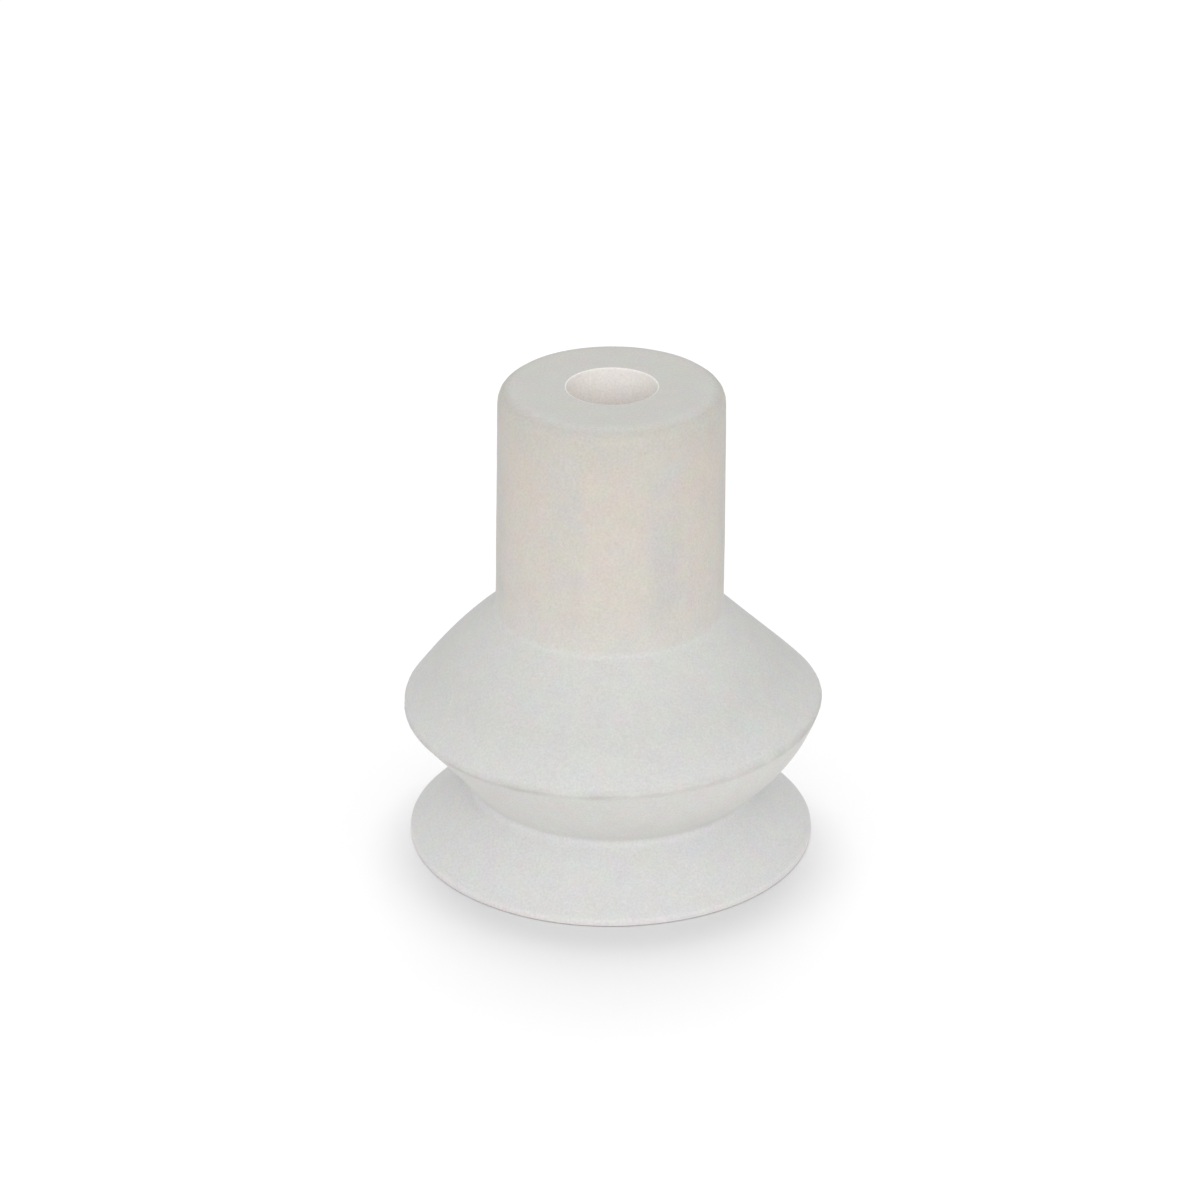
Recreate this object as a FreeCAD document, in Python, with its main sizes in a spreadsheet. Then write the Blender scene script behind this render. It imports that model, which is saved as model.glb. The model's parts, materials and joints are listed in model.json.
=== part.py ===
import FreeCAD, Part
import math
import os
import Sketcher

# Vacuum suction cup with one and a half folds, moulded in one piece of
# translucent silicone.  The moulding is built zone by zone: each zone that
# moves as one ring, or that bends between two such rings, is a solid of its
# own, and the zones meet face to face.
#
# Frame: millimetres, +Z up along the cup's axis, origin at the centre of the
# plane that the lip seals on.  Every zone is turned about Z from its half
# section, drawn on the XZ plane: sketch X is the radius, sketch Y the height.

doc = FreeCAD.newDocument("vacuum_suction_cup")

# ---------------------------------------------------------------- dimensions

DIMENSIONS = [
    ("overall_height", 21.9, "top of the neck above the sealing plane"),
    ("neck_top_diameter", 10.0, "outside of the neck at its top"),
    ("neck_base_diameter", 10.2, "outside of the neck where the folds begin (mould draft)"),
    ("neck_edge_round", 0.65, "round on the neck's top outer edge"),
    ("bore_diameter", 4.0, "hole that is pushed over the fitting's nipple"),
    ("bore_lead_in", 0.15, "chamfer at the top of the bore"),
    ("bore_lead_out", 0.6, "chamfer where the bore opens into the fold"),
    ("shoulder_height", 11.2, "where the neck ends and the upper fold begins"),
    ("neck_root_length", 2.2, "free length of the neck below the nipple"),
    ("fold_diameter", 18.9, "outside of the fold, over its crease"),
    ("fold_height", 6.7, "height of the fold's crease"),
    ("fold_ring_depth", 0.65, "stiff ring just below the crease"),
    ("upper_wall_arc", 45.0, "radius that bows the upper wall outwards"),
    ("lower_wall_arc", 21.0, "radius that bows the lower wall outwards"),
    ("wall", 0.9, "wall thickness of both folds and of the lip's root"),
    ("waist_diameter", 12.8, "outside of the waist between the fold and the lip"),
    ("waist_height", 2.7, "height of the waist's corner"),
    ("waist_ring_half", 0.35, "stiff waist ring above and below that corner"),
    ("throat_cover", 0.1, "least depth of the waist ring under its inner corner"),
    ("waist_round", 0.4, "round in the waist's corner"),
    ("lip_diameter", 18.3, "outside of the sealing lip"),
    ("lip_edge", 0.27, "height of the lip's outer edge"),
    ("lip_land", 0.2, "flat ring of the lip that meets the surface"),
    ("seal_width", 0.95, "radial width of the sealing edge"),
]

sheet = doc.addObject("Spreadsheet::Sheet", "dims")
for row, (alias, value, meaning) in enumerate(DIMENSIONS, start=1):
    sheet.set(f"A{row}", meaning)
    sheet.set(f"B{row}", str(value))
    sheet.setAlias(f"B{row}", alias)
doc.recompute()

# Sizes that follow from the driving dimensions.  Radii end in _r and heights
# in _z.  A slope is the radius gained for each millimetre of height.
DERIVED = [
    ("bore_r", "dims.bore_diameter / 2"),
    ("neck_top_r", "dims.neck_top_diameter / 2"),
    ("neck_base_r", "dims.neck_base_diameter / 2"),
    ("crease_r", "dims.fold_diameter / 2"),
    ("waist_r", "dims.waist_diameter / 2"),
    ("lip_r", "dims.lip_diameter / 2"),
    # neck
    ("sleeve_base_z", "dims.shoulder_height + dims.neck_root_length"),
    ("neck_draft", "(neck_base_r - neck_top_r) / (dims.overall_height - dims.shoulder_height)"),
    ("sleeve_base_r", "neck_base_r - neck_draft * dims.neck_root_length"),
    # upper wall: its inside is a cone, one wall thickness in from the chord
    ("upper_slope", "(crease_r - neck_base_r) / (dims.shoulder_height - dims.fold_height)"),
    ("upper_inset", "dims.wall * sqrt(1 + upper_slope ^ 2)"),
    # lower wall: the same, from the crease down to the waist
    ("lower_slope", "(crease_r - waist_r) / (dims.fold_height - dims.waist_height)"),
    ("lower_inset", "dims.wall * sqrt(1 + lower_slope ^ 2)"),
    # centre of the arc that the lower wall's outside is bowed to
    ("lower_chord", "sqrt((crease_r - waist_r) ^ 2 + (dims.fold_height - dims.waist_height) ^ 2)"),
    ("lower_reach", "sqrt(dims.lower_wall_arc ^ 2 - (lower_chord / 2) ^ 2)"),
    ("lower_arc_r",
     "(crease_r + waist_r) / 2 - lower_reach * (dims.fold_height - dims.waist_height) / lower_chord"),
    ("lower_arc_z",
     "(dims.fold_height + dims.waist_height) / 2 + lower_reach * (crease_r - waist_r) / lower_chord"),
    # fold ring
    ("ring_base_z", "dims.fold_height - dims.fold_ring_depth"),
    ("ring_base_r",
     "lower_arc_r + sqrt(dims.lower_wall_arc ^ 2 - (ring_base_z - lower_arc_z) ^ 2)"),
    ("ring_top_bore_r", "crease_r - upper_inset"),
    ("ring_corner_drop", "(upper_inset - lower_inset) / (upper_slope + lower_slope)"),
    ("ring_corner_z", "dims.fold_height - ring_corner_drop"),
    ("ring_corner_r", "ring_top_bore_r + upper_slope * ring_corner_drop"),
    ("ring_base_bore_r", "crease_r - lower_inset - lower_slope * dims.fold_ring_depth"),
    # waist ring, cut level above its corner
    ("waist_top_z", "dims.waist_height + dims.waist_ring_half"),
    ("waist_top_r",
     "lower_arc_r + sqrt(dims.lower_wall_arc ^ 2 - (waist_top_z - lower_arc_z) ^ 2)"),
    ("waist_top_bore_r", "waist_r - lower_inset + lower_slope * dims.waist_ring_half"),
    ("lip_slope", "(lip_r - waist_r) / (dims.waist_height - dims.lip_edge)"),
    # underside of the lip: a cone from one wall under the waist's corner to the land
    ("land_r", "lip_r - dims.lip_land"),
    ("lip_root_r", "waist_r - dims.wall / sqrt(1 + lip_slope ^ 2)"),
    ("lip_root_z", "dims.waist_height - dims.wall * lip_slope / sqrt(1 + lip_slope ^ 2)"),
    ("under_slope", "(land_r - lip_root_r) / lip_root_z"),
    ("throat_z",
     "(land_r - waist_r + lower_inset + lower_slope * dims.waist_height)"
     " / (lower_slope + under_slope)"),
    ("throat_r", "land_r - under_slope * throat_z"),
    # the waist ring is cut level again below both of its corners, outer and inner
    ("waist_base_z", "min(dims.waist_height - dims.waist_ring_half; throat_z - dims.throat_cover)"),
    ("waist_base_r", "waist_r + lip_slope * (dims.waist_height - waist_base_z)"),
    ("waist_base_bore_r", "land_r - under_slope * waist_base_z"),
    # sealing edge: it takes the lower half of the lip over its width
    ("seal_inner_r", "lip_r - dims.seal_width"),
    ("seal_under_z", "(land_r - seal_inner_r) / under_slope"),
    ("seal_split_z", "(seal_under_z + dims.lip_edge + dims.seal_width / lip_slope) / 2"),
]

sizes = doc.addObject("App::VarSet", "sizes")
for name, formula in DERIVED:
    sizes.addProperty("App::PropertyFloat", name, "Derived")
    sizes.setExpression(name, formula)
doc.recompute()


# ------------------------------------------------------------------- helpers

def number(expression):
    """Value of an expression in the document's own sizes."""
    return float(sizes.evalExpression(expression))


def bowed_edge(start, end, radius):
    """Arc between two points of a section that bows away from the cup's axis."""
    middle = (start + end) * 0.5
    half = (end - start) * 0.5
    reach = math.sqrt(radius ** 2 - half.Length ** 2)
    across = FreeCAD.Vector(-half.y, half.x, 0).normalize()
    centre = min((middle + across * reach, middle - across * reach), key=lambda point: point.x)
    angles = [math.atan2(point.y - centre.y, point.x - centre.x) for point in (start, end)]
    circle = Part.Circle(centre, FreeCAD.Vector(0, 0, 1), radius)
    return Part.ArcOfCircle(circle, min(angles), max(angles))


def end_of(edge, point):
    """Sketcher's number, 1 or 2, of the edge's end that lies at the point."""
    return 1 if edge.StartPoint.distanceToPoint(point) < edge.EndPoint.distanceToPoint(point) else 2


def turned_zone(label, corners):
    """A body turned about Z from a closed half section.

    Each corner is its name, its radius, its height, and the radius of the arc
    that leads from it to the next corner, or None where that edge is straight.
    """
    body = doc.addObject("PartDesign::Body", label)
    body.Label = label
    section = body.newObject("Sketcher::SketchObject", f"{label}_section")
    plane = next(item for item in body.Origin.OriginFeatures if item.Role == "XZ_Plane")
    section.AttachmentSupport = (plane, "")
    section.MapMode = "FlatFace"

    points = [FreeCAD.Vector(number(radius), number(height), 0)
              for _, radius, height, _ in corners]
    edges = []
    for index, (_, _, _, arc) in enumerate(corners):
        start = points[index]
        end = points[(index + 1) % len(points)]
        if arc is None:
            edges.append(Part.LineSegment(start, end))
        else:
            edges.append(bowed_edge(start, end, number(arc)))
    section.addGeometry(edges)

    for index, (name, radius, height, arc) in enumerate(corners):
        point = points[index]
        before = (index - 1) % len(edges)
        here = end_of(edges[index], point)
        section.addConstraint(Sketcher.Constraint(
            "Coincident", before, end_of(edges[before], point), index, here))
        bind(section, "DistanceX", (-1, 1, index, here), f"{name}_radius", radius)
        if point.y > 0:
            bind(section, "DistanceY", (-1, 1, index, here), f"{name}_height", height)
        else:
            section.addConstraint(Sketcher.Constraint("PointOnObject", index, here, -1))
        if arc is not None:
            bind(section, "Radius", (index,), f"{name}_bow", arc)

    turned = body.newObject("PartDesign::Revolution", f"{label}_turned")
    turned.Profile = section
    turned.ReferenceAxis = (section, ["V_Axis"])
    turned.Angle = 360
    doc.recompute()
    return body


def bind(section, kind, where, name, expression):
    """Add a dimension to a section and tie it to the document's sizes."""
    index = section.addConstraint(Sketcher.Constraint(kind, *where, number(expression)))
    section.renameConstraint(index, name)
    section.setExpression(f"Constraints.{name}", expression)


def ring_edge(body, radius, height):
    """Name of the body's round edge with this radius at this height."""
    def miss(edge):
        return abs(edge.Curve.Radius - number(radius)) + abs(edge.Curve.Center.z - number(height))

    rounds = [(miss(edge), f"Edge{index}")
              for index, edge in enumerate(body.Tip.Shape.Edges, start=1)
              if edge.Curve.TypeId == "Part::GeomCircle"]
    return min(rounds)[1]


def dress(body, kind, size, expression, radius, height):
    """Round or chamfer one ring edge of a body."""
    base = body.Tip
    name = ring_edge(body, radius, height)
    feature = body.newObject(f"PartDesign::{kind}", f"{body.Label}_{kind.lower()}")
    feature.Base = (base, [name])
    setattr(feature, size, number(expression))
    feature.setExpression(size, expression)
    doc.recompute()


# --------------------------------------------------------------------- zones

def neck_sleeve():
    """Thick sleeve that grips the fitting's nipple; its top is the seating face."""
    body = turned_zone("neck_sleeve", [
        ("base_bore", "sizes.bore_r", "sizes.sleeve_base_z", None),
        ("base", "sizes.sleeve_base_r", "sizes.sleeve_base_z", None),
        ("top", "sizes.neck_top_r", "dims.overall_height", None),
        ("top_bore", "sizes.bore_r", "dims.overall_height", None),
    ])
    dress(body, "Fillet", "Radius", "dims.neck_edge_round", "sizes.neck_top_r", "dims.overall_height")
    dress(body, "Chamfer", "Size", "dims.bore_lead_in", "sizes.bore_r", "dims.overall_height")
    return body


def neck_root():
    """Free lower end of the neck, which flexes when the cup tilts."""
    body = turned_zone("neck_root", [
        ("base_bore", "sizes.bore_r", "dims.shoulder_height", None),
        ("base", "sizes.neck_base_r", "dims.shoulder_height", None),
        ("top", "sizes.sleeve_base_r", "sizes.sleeve_base_z", None),
        ("top_bore", "sizes.bore_r", "sizes.sleeve_base_z", None),
    ])
    dress(body, "Chamfer", "Size", "dims.bore_lead_out", "sizes.bore_r", "dims.shoulder_height")
    return body


def upper_fold_wall():
    """Cone from the shoulder out to the crease; it flattens as the cup shortens."""
    return turned_zone("upper_fold_wall", [
        ("crease_bore", "sizes.ring_top_bore_r", "dims.fold_height", None),
        ("crease", "sizes.crease_r", "dims.fold_height", "dims.upper_wall_arc"),
        ("shoulder", "sizes.neck_base_r", "dims.shoulder_height", None),
        ("shoulder_bore", "sizes.neck_base_r - sizes.upper_inset", "dims.shoulder_height", None),
    ])


def fold_ring():
    """Stiff ring under the crease that keeps the fold round."""
    return turned_zone("fold_ring", [
        ("base_bore", "sizes.ring_base_bore_r", "sizes.ring_base_z", None),
        ("base", "sizes.ring_base_r", "sizes.ring_base_z", "dims.lower_wall_arc"),
        ("crease", "sizes.crease_r", "dims.fold_height", None),
        ("top_bore", "sizes.ring_top_bore_r", "dims.fold_height", None),
        ("corner", "sizes.ring_corner_r", "sizes.ring_corner_z", None),
    ])


def lower_fold_wall():
    """Cone from the fold ring in to the waist; it flattens with the upper wall."""
    return turned_zone("lower_fold_wall", [
        ("waist_bore", "sizes.waist_top_bore_r", "sizes.waist_top_z", None),
        ("waist", "sizes.waist_top_r", "sizes.waist_top_z", "dims.lower_wall_arc"),
        ("ring", "sizes.ring_base_r", "sizes.ring_base_z", None),
        ("ring_bore", "sizes.ring_base_bore_r", "sizes.ring_base_z", None),
    ])


def waist_ring():
    """Stiff ring at the waist, where the fold turns into the lip."""
    body = turned_zone("waist_ring", [
        ("base_bore", "sizes.waist_base_bore_r", "sizes.waist_base_z", None),
        ("base", "sizes.waist_base_r", "sizes.waist_base_z", None),
        ("corner", "sizes.waist_r", "dims.waist_height", None),
        ("top", "sizes.waist_top_r", "sizes.waist_top_z", None),
        ("top_bore", "sizes.waist_top_bore_r", "sizes.waist_top_z", None),
        ("throat", "sizes.throat_r", "sizes.throat_z", None),
    ])
    dress(body, "Fillet", "Radius", "dims.waist_round", "sizes.waist_r", "dims.waist_height")
    return body


def lip_skirt():
    """Flared lip, thick at the waist and thin at its edge, which splays on a surface."""
    return turned_zone("lip_skirt", [
        ("root_bore", "sizes.waist_base_bore_r", "sizes.waist_base_z", None),
        ("step_base", "sizes.seal_inner_r", "sizes.seal_under_z", None),
        ("step_top", "sizes.seal_inner_r", "sizes.seal_split_z", None),
        ("edge", "sizes.lip_r", "dims.lip_edge", None),
        ("root", "sizes.waist_base_r", "sizes.waist_base_z", None),
    ])


def sealing_edge():
    """Edge of the lip, with the flat land that meets the surface."""
    return turned_zone("sealing_edge", [
        ("land", "sizes.land_r", "0", None),
        ("foot", "sizes.lip_r", "0", None),
        ("edge", "sizes.lip_r", "dims.lip_edge", None),
        ("step_top", "sizes.seal_inner_r", "sizes.seal_split_z", None),
        ("step_base", "sizes.seal_inner_r", "sizes.seal_under_z", None),
    ])


ZONES = [
    neck_sleeve(),
    neck_root(),
    upper_fold_wall(),
    fold_ring(),
    lower_fold_wall(),
    waist_ring(),
    lip_skirt(),
    sealing_edge(),
]

# ------------------------------------------------------------ check and write

doc.recompute()
for item in doc.Objects:
    if "Invalid" in item.State or "Error" in item.State:
        raise RuntimeError(f"{item.Label} did not recompute: {item.State}")
for zone in ZONES:
    if zone.Shape.isNull() or not zone.Shape.isValid():
        raise RuntimeError(f"{zone.Label} has no valid shape")
    if len(zone.Shape.Solids) != 1:
        raise RuntimeError(f"{zone.Label} is not one solid")

os.makedirs("parts", exist_ok=True)
for zone in ZONES:
    zone.Shape.exportStep(f"parts/{zone.Label}.step")
    box = zone.Shape.BoundBox
    print(f"{zone.Label:16s} radius {box.XMax:6.3f}  height {box.ZMin:6.3f} to {box.ZMax:6.3f}"
          f"  volume {zone.Shape.Volume:8.3f} mm3")
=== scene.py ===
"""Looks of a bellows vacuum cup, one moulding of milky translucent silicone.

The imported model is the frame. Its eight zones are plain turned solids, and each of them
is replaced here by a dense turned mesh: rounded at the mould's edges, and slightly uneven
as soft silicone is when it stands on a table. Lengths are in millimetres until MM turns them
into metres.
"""

import json
import logging
import math
from dataclasses import dataclass, field
from enum import Enum
from typing import Any, Protocol

import bpy
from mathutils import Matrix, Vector, noise

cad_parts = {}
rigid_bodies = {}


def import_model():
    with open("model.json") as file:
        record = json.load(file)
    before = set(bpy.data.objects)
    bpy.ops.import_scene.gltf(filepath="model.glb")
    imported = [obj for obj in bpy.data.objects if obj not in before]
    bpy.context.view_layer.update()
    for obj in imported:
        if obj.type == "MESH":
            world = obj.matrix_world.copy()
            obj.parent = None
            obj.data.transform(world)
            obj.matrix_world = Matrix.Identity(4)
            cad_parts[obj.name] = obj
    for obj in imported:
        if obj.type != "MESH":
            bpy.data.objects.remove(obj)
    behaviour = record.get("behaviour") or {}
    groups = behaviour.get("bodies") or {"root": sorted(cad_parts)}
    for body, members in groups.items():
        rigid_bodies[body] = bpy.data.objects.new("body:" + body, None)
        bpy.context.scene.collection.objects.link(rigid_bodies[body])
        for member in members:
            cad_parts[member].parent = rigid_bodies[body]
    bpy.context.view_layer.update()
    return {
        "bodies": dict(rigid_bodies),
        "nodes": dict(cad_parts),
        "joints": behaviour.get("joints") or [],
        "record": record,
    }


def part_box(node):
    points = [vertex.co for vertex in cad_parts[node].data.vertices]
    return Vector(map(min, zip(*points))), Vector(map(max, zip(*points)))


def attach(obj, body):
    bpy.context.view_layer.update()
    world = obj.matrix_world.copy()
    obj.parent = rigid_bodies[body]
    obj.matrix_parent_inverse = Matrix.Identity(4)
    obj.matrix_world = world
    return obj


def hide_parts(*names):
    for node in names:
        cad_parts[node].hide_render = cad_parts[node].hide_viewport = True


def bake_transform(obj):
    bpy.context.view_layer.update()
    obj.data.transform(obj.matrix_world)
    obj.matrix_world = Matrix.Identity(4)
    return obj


LOG = logging.getLogger("vacuum_cup")
MM = 0.001
UP = Vector((0.0, 0.0, 1.0))
REST_ATTRIBUTE = "moulded_mm"

Point = tuple[float, float]
Point3 = tuple[float, float, float]
Window = tuple[bpy.types.NodeSocket, float, float]


class Node(Enum):
    """The zones of the moulding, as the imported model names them, from the top down."""

    NECK_SLEEVE = "neck_sleeve"
    NECK_ROOT = "neck_root"
    UPPER_WALL = "upper_fold_wall"
    FOLD_RING = "fold_ring"
    LOWER_WALL = "lower_fold_wall"
    WAIST_RING = "waist_ring"
    LIP_SKIRT = "lip_skirt"
    SEALING_EDGE = "sealing_edge"


class Body(Enum):
    """The bodies that the zones ride on."""

    NECK = "neck"
    NECK_ROOT = "neck_root"
    UPPER_FOLD = "upper_fold"
    FOLD_RING = "fold_ring"
    WAIST = "waist"
    LIP_EDGE = "lip_edge"


# ------------------------------------------------------------------ the moulded outline


@dataclass
class Corner:
    """One corner of the half section.

    Attributes:
        radius: Distance from the cup's axis.
        height: Height above the sealing plane.
        soft: How far along both edges the corner's round reaches.
        bow: Radius of the arc that leads on to the next corner, or 0 for a straight edge.
    """

    radius: float
    height: float
    soft: float = 0.0
    bow: float = 0.0


def bowed(start: Point, end: Point, radius: float, step: float) -> list[Point]:
    """Points from one corner towards the next, on a line or on an arc that bows outwards.

    Args:
        start: First corner, which is in the result.
        end: Next corner, which is in the result.
        radius: Radius of the arc, or 0 for a straight line.
        step: Longest distance between two points.

    Returns:
        The points, both ends included.
    """
    run = Vector(end) - Vector(start)
    count = max(1, math.ceil(run.length / step))
    if radius == 0.0:
        return [tuple(Vector(start) + run * (index / count)) for index in range(count + 1)]
    across = Vector((-run.y, run.x)).normalized()
    if across.x > 0.0:
        across.negate()
    centre = (Vector(start) + Vector(end)) / 2 + across * math.sqrt(radius**2 - run.length_squared / 4)
    first, last = (math.atan2(point[1] - centre.y, point[0] - centre.x) for point in (start, end))
    angles = [first + (last - first) * index / count for index in range(count + 1)]
    return [(centre.x + radius * math.cos(turn), centre.y + radius * math.sin(turn)) for turn in angles]


def trimmed(line: list[Point], length: float) -> list[Point]:
    """Takes the first stretch off a line.

    Args:
        line: The points of the line.
        length: Length to take off.

    Returns:
        The points of what is left, or the last point alone where nothing is left.
    """
    left = length
    for index in range(len(line) - 1):
        run = Vector(line[index + 1]) - Vector(line[index])
        if run.length > left:
            start = Vector(line[index]) + run * (left / run.length)
            return [tuple(start), *line[index + 1 :]]
        left -= run.length
    return line[-1:]


def outline(corners: list[Corner], step: float, round_steps: int = 6) -> list[Point]:
    """A smooth line through corners, each with its own round.

    Args:
        corners: The corners in order; the rounds of the first and the last are not used.
        step: Longest distance between two points on an edge.
        round_steps: Number of short edges in each round.

    Returns:
        The points of the line.
    """
    edges = [
        bowed((a.radius, a.height), (b.radius, b.height), a.bow, step)
        for a, b in zip(corners, corners[1:])
    ]
    line = list(edges[0])
    for corner, edge in zip(corners[1:], edges[1:]):
        if corner.soft == 0.0:
            line += edge[1:]
            continue
        line = trimmed(line[::-1], corner.soft)[::-1]
        ahead = trimmed(edge, corner.soft)
        start, tip, end = Vector(line[-1]), Vector((corner.radius, corner.height)), Vector(ahead[0])
        for index in range(1, round_steps + 1):
            share = index / round_steps
            line.append(tuple(start.lerp(tip, share).lerp(tip.lerp(end, share), share)))
        line += ahead[1:]
    return line


def stretch(line: list[Point], top: float, bottom: float) -> list[Point]:
    """Cuts a falling line level at two heights.

    Args:
        line: The points of the line, from the top down.
        top: Height of the upper cut.
        bottom: Height of the lower cut.

    Returns:
        The points between the cuts, and those on them.
    """
    cut: list[Point] = []
    for before, after in zip(line, line[1:]):
        for height in (top, bottom):
            if before[1] > height > after[1]:
                share = (before[1] - height) / (before[1] - after[1])
                cut.append((before[0] + (after[0] - before[0]) * share, height))
        if bottom <= after[1] <= top:
            cut.append(after)
    if bottom <= line[0][1] <= top:
        cut.insert(0, line[0])
    return cut


@dataclass
class Moulding:
    """Half section of the whole cup, from the mouth of the bore down to the sealing land.

    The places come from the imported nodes; the rounds are the mould's own.

    Attributes:
        frame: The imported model.
        step: Longest edge along the section.
        top_round: Reach of the round on the neck's top edge.
        mouth_round: Reach of the round at the mouth of the bore.
        shoulder_round: Reach of the round where the neck meets the fold.
        crease_round: Reach of the round over the fold's crease.
        waist_round: Reach of the round in the waist.
        lip_round: Reach of the round on the lip's edge.
        upper_bow: Radius that the upper wall is bowed to.
        lower_bow: Radius that the lower wall is bowed to.
        bore: Radius of the bore.
        land: Inner radius of the sealing land.
        top: Height of the neck's top.
        shoulder: Height of the neck's foot, where the fold begins.
        crease: Height of the fold's crease.
        waist_base: Height of the waist ring's base.
        outside: Line over the neck, the fold and the lip, from the bore's mouth down.
        inside: Line through the bore, the fold and the throat, from the bore's mouth down.
    """

    frame: dict[str, Any]
    step: float = 0.24
    top_round: float = 0.85
    mouth_round: float = 0.05
    shoulder_round: float = 0.14
    crease_round: float = 0.14
    waist_round: float = 0.4
    lip_round: float = 0.09
    upper_bow: float = 45.0
    lower_bow: float = 21.0
    bore: float = field(init=False)
    land: float = field(init=False)
    top: float = field(init=False)
    shoulder: float = field(init=False)
    crease: float = field(init=False)
    waist_base: float = field(init=False)
    outside: list[Point] = field(init=False)
    inside: list[Point] = field(init=False)

    def __post_init__(self) -> None:
        """Reads the places that both lines share from the frame, and draws the lines."""
        mounts = {mount["name"]: mount for mount in self.frame["record"]["mounts"]}
        self.bore = mounts["bore"]["dims"]["r_mm"]
        self.land = self.rim(Node.SEALING_EDGE, 0.0)[0]
        self.top = self.top_of(Node.NECK_SLEEVE)
        self.shoulder = self.base_of(Node.NECK_ROOT)
        self.crease = self.base_of(Node.UPPER_WALL)
        self.waist_base = self.base_of(Node.WAIST_RING)
        self.outside = self.outer_line()
        self.inside = self.inner_line()

    def outer_line(self) -> list[Point]:
        """Draws the outside, with the neck's draft and the lip's slope run on past the nodes.

        Returns:
            The points of the line.
        """
        sleeve_base = self.base_of(Node.NECK_SLEEVE)
        neck_base_r = self.rim(Node.NECK_ROOT, self.shoulder)[1]
        sleeve_base_r = self.rim(Node.NECK_SLEEVE, sleeve_base)[1]
        draft = (neck_base_r - sleeve_base_r) / (sleeve_base - self.shoulder)
        neck_top_r = neck_base_r - draft * (self.top - self.shoulder)
        crease_r = self.rim(Node.UPPER_WALL, self.crease)[1]
        edge = self.base_of(Node.LIP_SKIRT)
        lip_r = self.rim(Node.SEALING_EDGE, 0.0)[1]
        lip_slope = (lip_r - self.rim(Node.WAIST_RING, self.waist_base)[1]) / (self.waist_base - edge)
        waist = (self.top_of(Node.WAIST_RING) + self.waist_base) / 2
        waist_r = lip_r - lip_slope * (waist - edge)
        corners = [
            Corner(self.bore, self.top - 2 * self.mouth_round),
            Corner(self.bore, self.top, self.mouth_round),
            Corner(neck_top_r, self.top, self.top_round),
            Corner(neck_base_r, self.shoulder, self.shoulder_round, self.upper_bow),
            Corner(crease_r, self.crease, self.crease_round, self.lower_bow),
            Corner(waist_r, waist, self.waist_round),
            Corner(lip_r, edge, self.lip_round),
            Corner(lip_r, 0.0, self.lip_round / 2),
            Corner(self.land, 0.0),
        ]
        return outline(corners, self.step)

    def inner_line(self) -> list[Point]:
        """Draws the inside, whose throat is where the fold's slope meets the lip's.

        Returns:
            The points of the line.
        """
        lead_out = self.rim(Node.NECK_ROOT, self.shoulder)[0]
        fold_top_r = self.rim(Node.UPPER_WALL, self.shoulder)[0]
        fold_base_r = self.rim(Node.FOLD_RING, self.crease)[0]
        ring_base = self.base_of(Node.FOLD_RING)
        ring_bore_r = self.rim(Node.FOLD_RING, ring_base)[0]
        waist_top = self.top_of(Node.WAIST_RING)
        waist_bore_r = self.rim(Node.WAIST_RING, waist_top)[0]
        slope_in = (ring_bore_r - waist_bore_r) / (ring_base - waist_top)
        under = (self.land - self.rim(Node.WAIST_RING, self.waist_base)[0]) / self.waist_base
        throat = (self.land - waist_bore_r + slope_in * waist_top) / (slope_in + under)
        corners = [
            Corner(self.bore, self.top - 2 * self.mouth_round),
            Corner(self.bore, self.shoulder + lead_out - self.bore, self.mouth_round),
            Corner(lead_out, self.shoulder, self.mouth_round),
            Corner(fold_top_r, self.shoulder, self.mouth_round),
            Corner(fold_base_r, self.crease, self.crease_round),
            Corner(ring_bore_r, ring_base, self.crease_round),
            Corner(self.land - under * throat, throat, self.waist_round),
            Corner(self.land, 0.0),
        ]
        return outline(corners, self.step)

    def top_of(self, node: Node) -> float:
        """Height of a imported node's top."""
        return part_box(node.value)[1].z / MM

    def base_of(self, node: Node) -> float:
        """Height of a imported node's base."""
        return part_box(node.value)[0].z / MM

    def rim(self, node: Node, height: float) -> Point:
        """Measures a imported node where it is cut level.

        Args:
            node: The node.
            height: Height of the cut.

        Returns:
            The node's inner and outer radius there.
        """
        points = [vertex.co / MM for vertex in self.frame["nodes"][node.value].data.vertices]
        radii = [point.xy.length for point in points if abs(point.z - height) < MM]
        return min(radii), max(radii)

    def section(self, top: float, bottom: float) -> list[Point]:
        """Closes the half section of the zone between two heights.

        Args:
            top: Height of the zone's top.
            bottom: Height of the zone's base.

        Returns:
            The points, down the outside and up the inside.
        """
        outer = stretch(self.outside, top, bottom)
        inner = stretch(self.inside, top, bottom)
        loop = outer + inner[::-1]
        return [point for point, after in zip(loop, loop[1:] + loop[:1]) if point != after]


# ------------------------------------------------------------------------ soft unevenness


def smooth(low: float, high: float, value: float) -> float:
    """Smooth step from 0 at low to 1 at high."""
    share = min(1.0, max(0.0, (value - low) / (high - low)))
    return share * share * (3.0 - 2.0 * share)


def hump(low: float, high: float, value: float) -> float:
    """A hump that is 1 halfway between low and high, and 0 at and beyond both."""
    return math.sin(math.pi * min(1.0, max(0.0, (value - low) / (high - low))))


def waves(side: Vector, around: float, level: float) -> float:
    """Noise that changes so fast around the cup, at a level of its third axis."""
    return noise.noise(Vector((side.x * around, side.y * around, level)))


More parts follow.
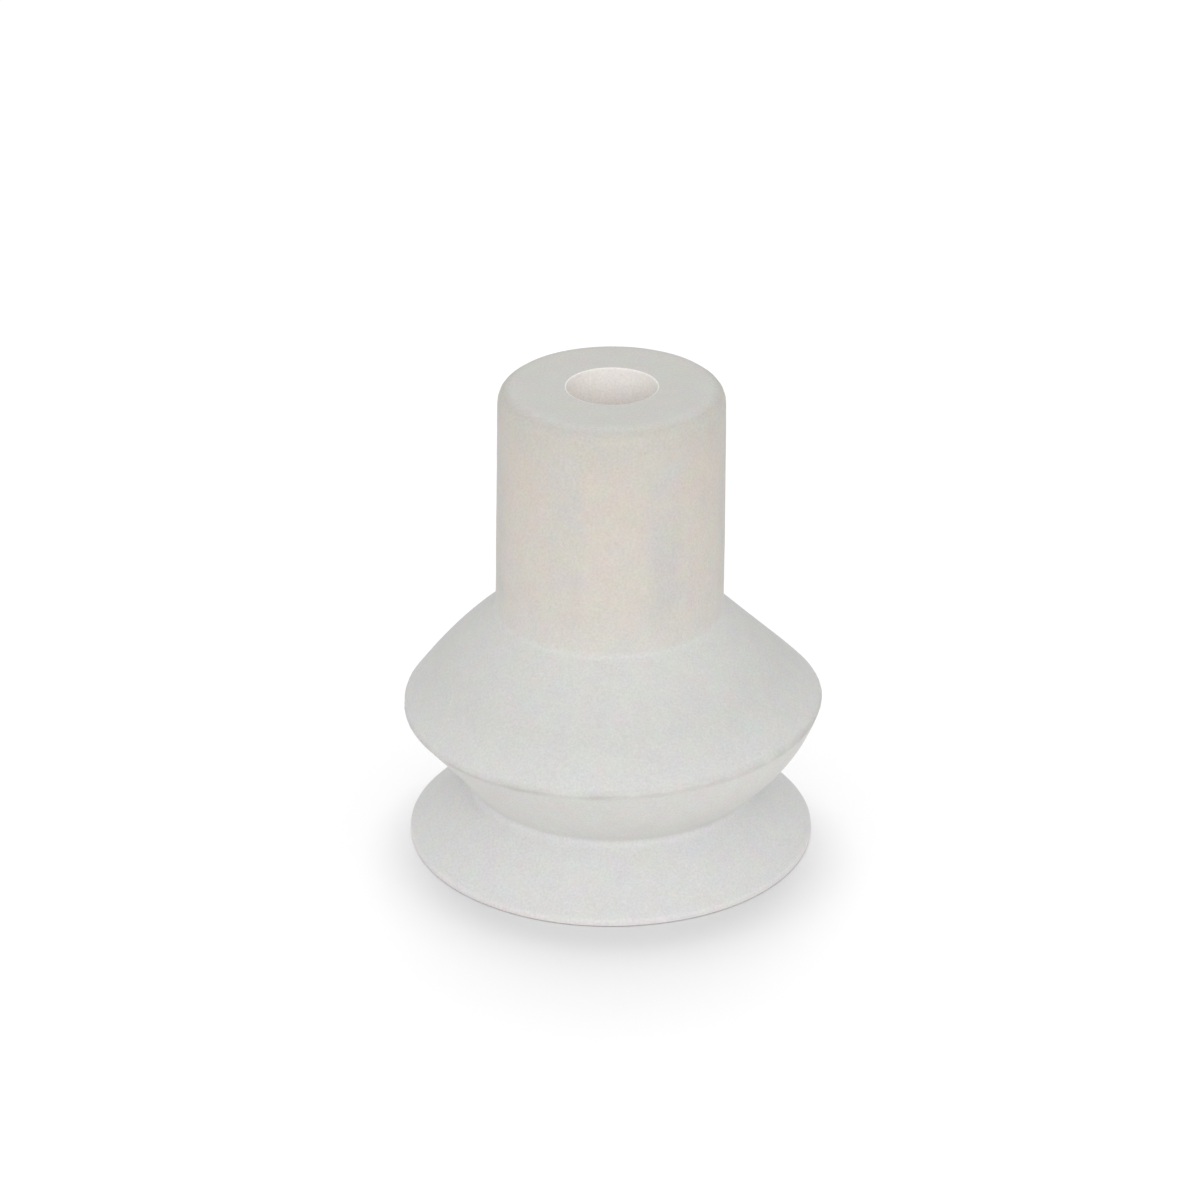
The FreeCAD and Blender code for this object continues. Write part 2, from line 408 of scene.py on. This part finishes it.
@dataclass(frozen=True)
class Settling:
    """How the soft cup departs from a true turned shape as it stands.

    Attributes:
        waist: Height up to which the lip stands true.
        crease: Height of the crease, where the fold's ring is at its most uneven.
        shoulder: Height of the neck's foot, which the neck leans from.
        held: How far under the crease the ring's tilt, shift and skew are full.
        lean: Lean of the neck towards +X, in degrees.
        offset: Shift of the neck's foot along X.
        ring_tilt: Tilt of the fold's ring about Y, its +X side up, in degrees.
        ring_shift: Shift of the fold's ring towards +X.
        ring_skew: How far the back of the ring is pushed over towards -X.
        upper_sway: How far the upper wall bulges on its +X side and caves in on its -X side.
        lower_sway: The same for the lower wall.
        ripple: Height of the long, shallow waves in the skin.
        fine_share: Height of the short waves, as a share of the long ones'.
        long_waves: How fast the long waves change, round the cup and along its height.
        short_waves: The same for the short ones.
        calm: Radius up to which the skin has no waves, and radius from which they are full.
        flash: Height of the ragged witness line over the crease.
        flash_reach: How far from the crease the witness line reaches.
        flash_waves: How fast the witness line changes round the cup, and its own level.
    """

    waist: float
    crease: float
    shoulder: float
    held: float = 0.5
    lean: float = 0.5
    offset: float = -0.08
    ring_tilt: float = 1.8
    ring_shift: float = 0.13
    ring_skew: float = 0.5
    upper_sway: float = -0.12
    lower_sway: float = 0.35
    ripple: float = 0.02
    fine_share: float = 0.35
    long_waves: Point = (1.7, 0.272)
    short_waves: Point = (9.0, 0.9)
    calm: Point = (2.2, 4.0)
    flash: float = 0.025
    flash_reach: float = 0.12
    flash_waves: Point = (34.0, 3.0)

    def moved(self, place: Vector) -> Vector:
        """Where a point of the true turned shape really lies.

        Args:
            place: The point, in millimetres.

        Returns:
            The point after lean, tilt, sway, ripple and flash.
        """
        radius, height = place.xy.length, place.z
        side = Vector((place.x / radius, place.y / radius, 0.0))
        outward = self.sway(side, height) + self.unevenness(side, radius, height)
        hold = smooth(self.waist, self.crease - self.held, height)
        hold *= 1.0 - smooth(self.crease, self.shoulder, height)
        outward -= self.ring_skew * hold * max(0.0, side.y) * side.x
        lift = math.tan(math.radians(self.ring_tilt)) * place.x * hold
        foot = smooth(0.0, self.shoulder, height) * self.offset + self.ring_shift * hold
        lean = math.tan(math.radians(self.lean)) * max(0.0, height - self.shoulder)
        return place + side * outward + UP * lift + Vector((foot + lean, 0.0, 0.0))

    def sway(self, side: Vector, height: float) -> float:
        """Measures how far the fold's walls bulge or cave in.

        Args:
            side: Direction from the axis, one long.
            height: Height of the point.

        Returns:
            The distance outwards.
        """
        upper = self.upper_sway * hump(self.crease, self.shoulder, height)
        lower = self.lower_sway * hump(self.waist, self.crease, height)
        return (upper + lower) * side.x

    def unevenness(self, side: Vector, radius: float, height: float) -> float:
        """Measures the skin's waves and the witness line over the crease.

        Args:
            side: Direction from the axis, one long.
            radius: Distance from the axis.
            height: Height of the point.

        Returns:
            The distance outwards.
        """
        (around, along), (fine_around, fine_along) = self.long_waves, self.short_waves
        long = waves(side, around, height * along)
        short = waves(side, fine_around, height * fine_along) * self.fine_share
        ragged = max(0.0, waves(side, *self.flash_waves))
        near = math.exp(-(((height - self.crease) / self.flash_reach) ** 2))
        return (long + short) * self.ripple * smooth(*self.calm, radius) + self.flash * ragged * near


# ---------------------------------------------------------------------------------- meshes


def place_object(name: str, data: bpy.types.ID) -> bpy.types.Object:
    """Makes an object and links it to the scene.

    Args:
        name: Name of the object.
        data: Its mesh, camera or light.

    Returns:
        The object.
    """
    made = bpy.data.objects.new(name, data)
    bpy.context.scene.collection.objects.link(made)
    return made


@dataclass
class Lathe:
    """Turns a closed half section into a mesh, uneven as the settled cup is.

    Attributes:
        moulding: The half section of the whole cup.
        settling: How the cup departs from the turned shape.
        turns: Number of steps round the axis.
        sharp_degrees: Turn between two faces from which their edge stays sharp.
    """

    moulding: Moulding
    settling: Settling
    turns: int = 240
    sharp_degrees: float = 34.0

    def turn(self, name: str, top: float, bottom: float) -> bpy.types.Object:
        """Makes the zone between two heights.

        Args:
            name: Name of the piece.
            top: Height of the zone's top.
            bottom: Height of the zone's base.

        Returns:
            The new object, linked to the scene.
        """
        section = self.moulding.section(top, bottom)
        true: list[Vector] = []
        for index in range(self.turns):
            angle = 2.0 * math.pi * index / self.turns
            true += [Vector((r * math.cos(angle), r * math.sin(angle), z)) for r, z in section]
        count = len(section)
        faces = []
        for index in range(self.turns):
            here, ahead = index * count, (index + 1) % self.turns * count
            for low in range(count):
                high = (low + 1) % count
                faces.append((here + low, here + high, ahead + high, ahead + low))
        mesh = bpy.data.meshes.new(name)
        mesh.from_pydata([self.settling.moved(place) * MM for place in true], [], faces)
        rest = mesh.attributes.new(REST_ATTRIBUTE, "FLOAT_VECTOR", "POINT")
        rest.data.foreach_set("vector", [value for place in true for value in place])
        mesh.validate()
        mesh.shade_smooth()
        mesh.set_sharp_from_angle(angle=math.radians(self.sharp_degrees))
        return place_object(name, mesh)


# -------------------------------------------------------------------------------- finishes


def linear(hex_colour: str) -> tuple[float, float, float, float]:
    """Turns an sRGB hex colour into the linear colour that nodes take.

    Args:
        hex_colour: The colour, as # and six digits.

    Returns:
        Its linear red, green and blue, and an alpha of 1.
    """
    parts = [int(hex_colour[index : index + 2], 16) / 255.0 for index in (1, 3, 5)]
    lit = [part / 12.92 if part <= 0.04045 else ((part + 0.055) / 1.055) ** 2.4 for part in parts]
    return lit[0], lit[1], lit[2], 1.0


def empty_material(name: str) -> bpy.types.Material:
    """Makes a material with no nodes in its tree.

    Args:
        name: Name of the material.

    Returns:
        The material.
    """
    material = bpy.data.materials.new(name)
    material.use_nodes = True
    material.node_tree.nodes.clear()
    return material


def add(
    tree: bpy.types.NodeTree, kind: str, links: dict[Any, Any] | None = None, **settings: Any
) -> bpy.types.Node:
    """Adds a node to a tree.

    Args:
        tree: The node tree.
        kind: Blender's type name for the node.
        links: For each input, by name or number, the output to link or the value to set.
        settings: The node's own properties.

    Returns:
        The new node.
    """
    node = tree.nodes.new(kind)
    for name, value in settings.items():
        setattr(node, name, value)
    for key, value in (links or {}).items():
        if isinstance(value, bpy.types.NodeSocket):
            tree.links.new(value, node.inputs[key])
        else:
            node.inputs[key].default_value = value
    return node


class Octaves(Enum):
    """How many finer layers a noise has."""

    GRAIN = 2.0
    PATCHES = 3.0
    CLOUDS = 5.0


def patches(rest: bpy.types.NodeSocket, width: float, octaves: Octaves) -> dict[str, Any]:
    """Inputs of a noise over the moulded skin, with patches of about the given width."""
    return {"Vector": rest, "Scale": 1.0 / width, "Detail": octaves.value}


@dataclass
class Skin:
    """A finish while it is laid on, layer by layer.

    Attributes:
        tree: The material's node tree.
        rest: Where each point of the skin lay in the mould, in millimetres.
        grain: The grain's noise, from 0 to 1.
        colour: The colour so far.
    """

    tree: bpy.types.NodeTree
    rest: bpy.types.NodeSocket
    grain: bpy.types.NodeSocket
    colour: bpy.types.NodeSocket | None = None

    def tint(self, shade: str, strength: float, windows: list[Window]) -> None:
        """Mixes a shade into the colour where every window is open.

        Args:
            shade: The shade, as an sRGB hex colour.
            strength: Share of the shade where all the windows are wide open.
            windows: For each, a value, where on it the window is shut and where it is open.
        """
        share: bpy.types.NodeSocket | float = strength
        for value, shut, wide in windows:
            links = {"Value": value, "From Min": shut, "From Max": wide}
            step = add(self.tree, "ShaderNodeMapRange", links, interpolation_type="SMOOTHSTEP")
            both = add(self.tree, "ShaderNodeMath", {0: step.outputs[0], 1: share}, operation="MULTIPLY")
            share = both.outputs[0]
        links = {0: share, 6: self.colour, 7: linear(shade)}
        self.colour = add(self.tree, "ShaderNodeMix", links, data_type="RGBA").outputs[2]


class Layer(Protocol):
    """One layer of a finish."""

    def lay(self, skin: Skin) -> None:
        """Changes the colour of the skin."""


@dataclass(frozen=True)
class TintAndShadeByHeight:
    """Colour by height, partly painted light and shade: a thick wall holds more light back, and looks greyer
    and warmer.

    Attributes:
        stops: Height in millimetres and sRGB colour of the skin, from the lip up.
    """

    stops: tuple[tuple[float, str], ...] = (
        # Painted light: the thin lip's edge is lighter, as if lit through from the table.
        (0.00, "#DEDBDA"),
        (0.20, "#DEDBDA"),
        (0.36, "#D4D4D3"),
        (2.60, "#D2D2D1"),
        (3.40, "#D6D5D1"),
        (6.35, "#D0CFCB"),
        # Painted shade: a darker line along the crease.
        (6.66, "#C9C8C5"),
        (6.92, "#CDCDCB"),
        (8.60, "#C9C9C6"),
        (11.20, "#CDCDCA"),
        (11.50, "#CBC8C3"),
        (13.00, "#C9C4BD"),
        (19.50, "#C6BFB6"),
        # Painted shade: the neck's rounded top edge is darker, up to its top face.
        (21.10, "#C0BCB5"),
        (21.74, "#C1BEB7"),
        (21.88, "#CDCCC7"),
    )

    def lay(self, skin: Skin) -> None:
        """Gives the skin its first colour.

        Args:
            skin: The skin.
        """
        span = self.stops[-1][0]
        height = add(skin.tree, "ShaderNodeSeparateXYZ", {0: skin.rest}).outputs["Z"]
        share = add(skin.tree, "ShaderNodeMath", {0: height, 1: span}, operation="DIVIDE")
        ramp = add(skin.tree, "ShaderNodeValToRGB", {"Fac": share.outputs[0]})
        elements = ramp.color_ramp.elements
        elements[0].position, elements[0].color = 0.0, linear(self.stops[0][1])
        elements[1].position, elements[1].color = 1.0, linear(self.stops[-1][1])
        for level, shade in self.stops[1:-1]:
            elements.new(level / span).color = linear(shade)
        skin.colour = ramp.outputs["Color"]


@dataclass(frozen=True)
class ShadeBands:
    """Faint upright bands of painted shade on the neck, for the darker streaks of its inside seen through the
    wall; those near the neck's sides darken them.

    Attributes:
        shade: Their colour.
        count: Number of bands round the neck.
        turn: Angle of the first band from the front, in degrees.
        sides: Height of the wave round the neck at which a band starts and is full.
        patch: Width of the patches where a band shows more or less.
        patchy: Noise at which a patch is bare, and noise at which it is full.
        foot: Heights at which the bands start and are full.
        head: Heights at which they end and are still full.
    """

    shade: str = "#C0BEBA"
    count: int = 7
    turn: float = 27.7
    sides: Point = (-0.1, 1.0)
    patch: float = 3.0
    patchy: Point = (0.2, 0.8)
    foot: Point = (11.6, 13.5)
    head: Point = (21.2, 19.6)

    def lay(self, skin: Skin) -> None:
        """Adds the bands of painted shade.

        Args:
            skin: The skin.
        """
        tree = skin.tree
        place = add(tree, "ShaderNodeSeparateXYZ", {0: skin.rest}).outputs
        forward = add(tree, "ShaderNodeMath", {0: place["Y"], 1: -1.0}, operation="MULTIPLY").outputs[0]
        angle = add(tree, "ShaderNodeMath", {0: place["X"], 1: forward}, operation="ARCTAN2").outputs[0]
        start = -self.count * math.radians(self.turn)
        turned = {0: angle, 1: self.count, 2: start}
        phase = add(tree, "ShaderNodeMath", turned, operation="MULTIPLY_ADD").outputs[0]
        wave = add(tree, "ShaderNodeMath", {0: phase}, operation="COSINE").outputs[0]
        noisy = add(tree, "ShaderNodeTexNoise", patches(skin.rest, self.patch, Octaves.PATCHES))
        windows = [
            (wave, *self.sides),
            (place["Z"], *self.foot),
            (place["Z"], *self.head),
            (noisy.outputs["Fac"], *self.patchy),
        ]
        skin.tint(self.shade, 1.0, windows)


@dataclass(frozen=True)
class ScuffsAndCreaseShade:
    """Broken, slightly grey line over the crease: partly scuffs, where it rubs the most, and partly painted
    shade where the two walls meet.

    Attributes:
        shade: Their colour.
        strength: Share of that colour where they are thickest.
        height: Height of the line.
        spread: How far it spreads up and down.
        patch: Width of the patches that break it up.
        broken: Noise at which a patch is bare, and noise at which it is full.
    """

    shade: str = "#BAB8B4"
    strength: float = 0.9
    height: float = 6.6
    spread: float = 0.32
    patch: float = 1.6
    broken: Point = (0.3, 0.7)

    def lay(self, skin: Skin) -> None:
        """Adds the scuffs and the painted shade over the crease.

        Args:
            skin: The skin.
        """
        tree = skin.tree
        height = add(tree, "ShaderNodeSeparateXYZ", {0: skin.rest}).outputs["Z"]
        away = add(tree, "ShaderNodeMath", {0: height, 1: self.height}, operation="SUBTRACT").outputs[0]
        distance = add(tree, "ShaderNodeMath", {0: away}, operation="ABSOLUTE").outputs[0]
        noisy = add(tree, "ShaderNodeTexNoise", patches(skin.rest, self.patch, Octaves.CLOUDS))
        windows = [(distance, self.spread, 0.0), (noisy.outputs["Fac"], *self.broken)]
        skin.tint(self.shade, self.strength, windows)


@dataclass(frozen=True)
class BoreGlow:
    """Painted light: the bore is painted pale, for the light that reaches it from all round through the neck.

    Attributes:
        shade: Colour of the painted light.
        reach: Radii at which it ends and is still full.
    """

    shade: str = "#F3EFEB"
    reach: Point = (2.08, 2.02)

    def lay(self, skin: Skin) -> None:
        """Adds the bore's painted light.

        Args:
            skin: The skin.
        """
        level = {0: skin.rest, 1: (1.0, 1.0, 0.0)}
        flat = add(skin.tree, "ShaderNodeVectorMath", level, operation="MULTIPLY").outputs[0]
        radius = add(skin.tree, "ShaderNodeVectorMath", {0: flat}, operation="LENGTH").outputs["Value"]
        skin.tint(self.shade, 1.0, [(radius, *self.reach)])


@dataclass(frozen=True)
class Mottling:
    """The grain's light and dark, and cloudy patches that are a little bluer or warmer.

    Attributes:
        depth: How much lighter or darker the grain makes the colour.
        cloud: Width of the cloudy patches in the rubber.
        tint: How far their colour goes from the skin's.
    """

    depth: float = 0.15
    cloud: float = 0.9
    tint: float = 0.08

    def lay(self, skin: Skin) -> None:
        """Adds the grain and the clouds.

        Args:
            skin: The skin.
        """
        tree = skin.tree
        levels = {"Value": skin.grain, "To Min": 1.0 - self.depth, "To Max": 1.0 + self.depth}
        level = add(tree, "ShaderNodeMapRange", levels).outputs[0]
        grained = add(tree, "ShaderNodeVectorMath", {0: skin.colour, "Scale": level}, operation="SCALE")
        clouds = add(tree, "ShaderNodeTexNoise", patches(skin.rest, self.cloud, Octaves.CLOUDS))
        middle = {0: clouds.outputs["Color"], 1: (0.5, 0.5, 0.5)}
        around = add(tree, "ShaderNodeVectorMath", middle, operation="SUBTRACT").outputs[0]
        weak = add(tree, "ShaderNodeVectorMath", {0: around, "Scale": self.tint}, operation="SCALE")
        both = {0: grained.outputs[0], 1: weak.outputs[0]}
        skin.colour = add(tree, "ShaderNodeVectorMath", both, operation="ADD").outputs[0]


@dataclass(frozen=True)
class Specks:
    """A few specks of dust under the skin.

    Attributes:
        shade: Their colour.
        strength: Share of that colour in the middle of a speck.
        gap: Distance between the cells that may hold a speck.
        radius: Radius of a speck.
        rim: Where a speck ends and where it is full, in its radius.
        chance: Number of a cell, from 0 to 1, from which its speck shows and is full.
    """

    shade: str = "#8E8B86"
    strength: float = 0.3
    gap: float = 1.5
    radius: float = 0.045
    rim: Point = (1.5, 0.5)
    chance: Point = (0.55, 0.75)

    def lay(self, skin: Skin) -> None:
        """Adds the specks.

        Args:
            skin: The skin.
        """
        cells = add(skin.tree, "ShaderNodeTexVoronoi", {"Vector": skin.rest, "Scale": 1.0 / self.gap}).outputs
        number = add(skin.tree, "ShaderNodeSeparateColor", {0: cells["Color"]}).outputs[0]
        end, full = (self.radius / self.gap * part for part in self.rim)
        skin.tint(self.shade, self.strength, [(cells["Distance"], end, full), (number, *self.chance)])


@dataclass(frozen=True)
class MilkySilicone:
    """Silicone rubber, unfilled, pressed in a fine-blasted mould.

    It scatters light inside, so it has no hard shadows and a thin wall over a white table
    looks nearly white. The blasted mould leaves a fine dull grain with no mirror shine.

    Attributes:
        layers: What gives it its colour, painted light and shade among it, in order.
        grain: Width of a grain of the blasted skin, drawn about twice as coarse to show.
        relief: Height of a grain.
        bump: Strength of the relief.
        patch: Width of the patches that are duller or less dull.
        roughness: Lowest and highest roughness of the skin.
        ior: Refractive index of silicone rubber.
        gloss: Specular level, low because the grain breaks up the reflection.
    """

    layers: tuple[Layer, ...] = (TintAndShadeByHeight(), ShadeBands(), ScuffsAndCreaseShade(), BoreGlow(), Mottling(), Specks())
    grain: float = 0.10
    relief: float = 0.02
    bump: float = 0.25
    patch: float = 0.45
    roughness: Point = (0.55, 0.68)
    ior: float = 1.41
    gloss: float = 0.25

    def make(self) -> bpy.types.Material:
        """Builds the material.

        Returns:
            The material.
        """
        material = empty_material("silicone_milky")
        tree = material.node_tree
        rest = add(tree, "ShaderNodeAttribute", attribute_name=REST_ATTRIBUTE).outputs["Vector"]
        grain = add(tree, "ShaderNodeTexNoise", patches(rest, self.grain, Octaves.GRAIN)).outputs["Fac"]
        skin = Skin(tree, rest, grain)
        for layer in self.layers:
            layer.lay(skin)
        low, high = self.roughness
        dull = add(tree, "ShaderNodeTexNoise", patches(rest, self.patch, Octaves.PATCHES)).outputs["Fac"]
        rough = add(tree, "ShaderNodeMapRange", {"Value": dull, "To Min": low, "To Max": high})
        relief = {"Height": grain, "Strength": self.bump, "Distance": self.relief * MM}
        surface = {
            "Base Color": skin.colour,
            "Roughness": rough.outputs[0],
            "Normal": add(tree, "ShaderNodeBump", relief).outputs[0],
            "IOR": self.ior,
            "Specular IOR Level": self.gloss,
        }
        shader = add(tree, "ShaderNodeBsdfPrincipled", surface)
        add(tree, "ShaderNodeOutputMaterial", {"Surface": shader.outputs[0]})
        return material


# ------------------------------------------------------------------------- sub-assemblies


@dataclass
class Zone:
    """A stretch of the moulding, dressed and tied to the frame.

    Attributes:
        lathe: Turns its pieces.
        silicone: Their material.
    """

    lathe: Lathe
    silicone: bpy.types.Material

    def make(self, name: str, node: Node, top: float, bottom: float) -> bpy.types.Object:
        """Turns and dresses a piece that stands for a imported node.

        Args:
            name: Name of the piece.
            node: The node.
            top: Height of the piece's top.
            bottom: Height of its base.

        Returns:
            The piece, not yet tied to a body.
        """
        piece = self.lathe.turn(name, top, bottom)
        piece.data.materials.append(self.silicone)
        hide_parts(node.value)
        LOG.info("%s: %d faces", name, len(piece.data.polygons))
        return piece

    def bend(self, piece: bpy.types.Object, upper: Body, lower: Body, start: float, end: float) -> None:
        """Bakes the piece's placing into its own mesh."""
        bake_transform(piece)


@dataclass
class Neck(Zone):
    """The thick neck that is pushed over the fitting's nipple, and its free root.

    Attributes:
        bend_length: Length of the sleeve's foot that is handed to the bend, which does not use it.
    """

    bend_length: float = 2.8

    def build(self) -> None:
        """Makes the sleeve and the root."""
        moulding = self.lathe.moulding
        joint = moulding.base_of(Node.NECK_SLEEVE)
        sleeve = self.make("neck_sleeve_skin", Node.NECK_SLEEVE, moulding.top, joint)
        self.bend(sleeve, Body.NECK, Body.NECK_ROOT, joint + self.bend_length, joint)
        root = self.make("neck_root_skin", Node.NECK_ROOT, joint, moulding.shoulder)
        self.bend(root, Body.NECK_ROOT, Body.UPPER_FOLD, joint, moulding.shoulder)


@dataclass
class Bellows(Zone):
    """The fold: two cones that meet in a stiff ring at the crease."""

    def build(self) -> None:
        """Makes the walls, which shorten, and the ring between them."""
        moulding = self.lathe.moulding
        shoulder, crease = moulding.shoulder, moulding.crease
        ring_base, waist_top = moulding.base_of(Node.FOLD_RING), moulding.top_of(Node.WAIST_RING)
        upper = self.make("upper_wall_skin", Node.UPPER_WALL, shoulder, crease)
        self.bend(upper, Body.UPPER_FOLD, Body.FOLD_RING, shoulder, crease)
        ring = self.make("fold_ring_skin", Node.FOLD_RING, crease, ring_base)
        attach(ring, Body.FOLD_RING.value)
        lower = self.make("lower_wall_skin", Node.LOWER_WALL, ring_base, waist_top)
        self.bend(lower, Body.FOLD_RING, Body.WAIST, ring_base, waist_top)


@dataclass
class SealingLip(Zone):
    """The waist and the thin flared lip below it."""

    def build(self) -> None:
        """Makes the waist ring, the skirt that splays, and the edge that seals."""
        moulding = self.lathe.moulding
        waist_top, waist_base = moulding.top_of(Node.WAIST_RING), moulding.waist_base
        edge = moulding.base_of(Node.LIP_SKIRT)
        waist = self.make("waist_ring_skin", Node.WAIST_RING, waist_top, waist_base)
        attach(waist, Body.WAIST.value)
        skirt = self.make("lip_skirt_skin", Node.LIP_SKIRT, waist_base, edge)
        self.bend(skirt, Body.WAIST, Body.LIP_EDGE, waist_base, edge)
        seal = self.make("sealing_edge_skin", Node.SEALING_EDGE, edge, 0.0)
        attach(seal, Body.LIP_EDGE.value)


# ------------------------------------------------------------------------------ the studio


class LampKind(Enum):
    """Kinds of lamp: Blender's type for each, and its property for how wide it is."""

    SOFT_BOX = ("AREA", "size")
    SKYLIGHT = ("SUN", "angle")
    GLOW = ("POINT", "shadow_soft_size")


class Lights(Enum):
    """What a lamp lights, as the state of the table in its light linking."""

    ALL_BUT_TABLE = "EXCLUDE"
    ONLY_TABLE = "INCLUDE"
    EVERYTHING = ""


@dataclass(frozen=True)
class Lamp:
    """A lamp that faces the cup.

    Attributes:
        name: Name of the lamp.
        kind: Its kind.
        lights: What it lights.
        place: Where it stands, or the direction that a skylight comes from.
        width: Side of a soft box or radius of a glow, in metres, or angle of a skylight.
        power: Watts, or watts per square metre for a skylight.
    """

    name: str
    kind: LampKind
    lights: Lights
    place: Point3
    width: float
    power: float

    def make(self, target: Vector, table: bpy.types.Object) -> None:
        """Makes the lamp.

        Args:
            target: The point that it faces.
            table: The table, which it may leave out.
        """
        kind, how_wide = self.kind.value
        data = bpy.data.lights.new(self.name, kind)
        data.energy = self.power
        setattr(data, how_wide, self.width)
        lamp = place_object(self.name, data)
        lamp.location = Vector(self.place) * MM
        lamp.rotation_mode = "QUATERNION"
        lamp.rotation_quaternion = (target * MM - lamp.location).to_track_quat("-Z", "Y")
        if self.lights is Lights.EVERYTHING:
            return
        receivers = bpy.data.collections.new(f"receivers_of_{self.name}")
        receivers.objects.link(table)
        receivers.collection_objects[0].light_linking.link_state = self.lights.value
        lamp.light_linking.receiver_collection = receivers


@dataclass
class Studio:
    """White table, soft light and the camera.

    The front soft box shapes the cup and the skylight gives the shadow on the table. A lamp
    inside the fold stands for the light that comes through the wall, so that the bore's
    depth isn't black.

    Attributes:
        elevation: Angle of the camera above the table, in degrees.
        distance: Distance from the camera to the middle of the view.
        middle: Height of that point on the cup's axis.
        lens: Focal length.
        sensor: Width of the sensor that it is for.
        nearest: Distance at which the camera begins to see.
        aside: How far left of the axis the camera aims.
        above: How far above that point, along the camera's own up, it aims.
        table_colour: Colour of the table's laminate.
        table_size: Side of the table.
        table_drop: How far the table lies under the lip, so that they share no plane.
        ambient: Brightness of the white surround.
        lamps: The lamps.
    """

    elevation: float = 27.05
    distance: float = 199.54
    middle: float = 9.0
    lens: float = 133.3
    sensor: float = 36.0
    nearest: float = 10.0
    aside: float = 0.51
    above: float = 2.225
    table_colour: str = "#F4F4F5"
    table_size: float = 4000.0
    table_drop: float = 0.02
    ambient: float = 0.83
    lamps: tuple[Lamp, ...] = (
        Lamp(
            name="cup_soft_box",
            kind=LampKind.SOFT_BOX,
            lights=Lights.ALL_BUT_TABLE,
            place=(0.0, -250.0, 140.0),
            width=160.0 * MM,
            power=0.24,
        ),
        Lamp(
            name="table_skylight",
            kind=LampKind.SKYLIGHT,
            lights=Lights.ONLY_TABLE,
            place=(0.0, 110.0, 260.0),
            width=math.radians(34.0),
            power=1.12,
        ),
        Lamp(
            name="light_through_the_wall",
            kind=LampKind.GLOW,
            lights=Lights.EVERYTHING,
            place=(0.0, 0.0, 7.0),
            width=1.5 * MM,
            power=0.00035,
        ),
    )

    def build(self) -> None:
        """Makes the camera, the table and the light."""
        self.make_camera()
        table = self.make_table()
        self.make_surround()
        for lamp in self.lamps:
            lamp.make(UP * self.middle, table)
        view = bpy.context.scene.view_settings
        view.view_transform = "Standard"
        view.look = "None"

    def make_camera(self) -> None:
        """Makes the camera and aims it."""
        lift = math.radians(self.elevation)
        back = Vector((0.0, -math.cos(lift), math.sin(lift)))
        own_up = Vector((0.0, math.sin(lift), math.cos(lift)))
        middle = UP * self.middle
        data = bpy.data.cameras.new("camera")
        data.lens, data.sensor_width = self.lens, self.sensor
        data.clip_start, data.clip_end = self.nearest * MM, self.table_size * MM
        camera = place_object("camera", data)
        camera.location = (middle + back * self.distance) * MM
        aim = (middle + own_up * self.above - Vector((self.aside, 0.0, 0.0))) * MM
        camera.rotation_mode = "QUATERNION"
        camera.rotation_quaternion = (aim - camera.location).to_track_quat("-Z", "Y")
        bpy.context.scene.camera = camera

    def make_table(self) -> bpy.types.Object:
        """Makes the white table just under the sealing plane.

        Returns:
            The table.
        """
        half, drop = self.table_size / 2 * MM, -self.table_drop * MM
        corners = [(-half, -half, drop), (half, -half, drop), (half, half, drop), (-half, half, drop)]
        mesh = bpy.data.meshes.new("table")
        mesh.from_pydata(corners, [], [(0, 1, 2, 3)])
        material = empty_material("table_matt_white_laminate")
        shader = add(material.node_tree, "ShaderNodeBsdfDiffuse", {"Color": linear(self.table_colour)})
        add(material.node_tree, "ShaderNodeOutputMaterial", {"Surface": shader.outputs[0]})
        mesh.materials.append(material)
        table = place_object("table", mesh)
        return table

    def make_surround(self) -> None:
        """Makes the white surround."""
        world = bpy.data.worlds.new("studio")
        bpy.context.scene.world = world
        world.use_nodes = True
        world.node_tree.nodes.clear()
        white = {"Color": linear("#FFFFFF"), "Strength": self.ambient}
        around = add(world.node_tree, "ShaderNodeBackground", white)
        add(world.node_tree, "ShaderNodeOutputWorld", {"Surface": around.outputs[0]})


# ------------------------------------------------------------------------------------ main


def main() -> None:
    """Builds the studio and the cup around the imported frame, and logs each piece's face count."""
    logging.basicConfig(level=logging.INFO, format="%(name)s: %(message)s")
    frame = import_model()
    moulding = Moulding(frame)
    lathe = Lathe(moulding, Settling(moulding.waist_base, moulding.crease, moulding.shoulder))
    silicone = MilkySilicone().make()
    Studio().build()
    for zone in (Neck(lathe, silicone), Bellows(lathe, silicone), SealingLip(lathe, silicone)):
        zone.build()
        LOG.info("%s built", type(zone).__name__)


if __name__ == "__main__":
    main()
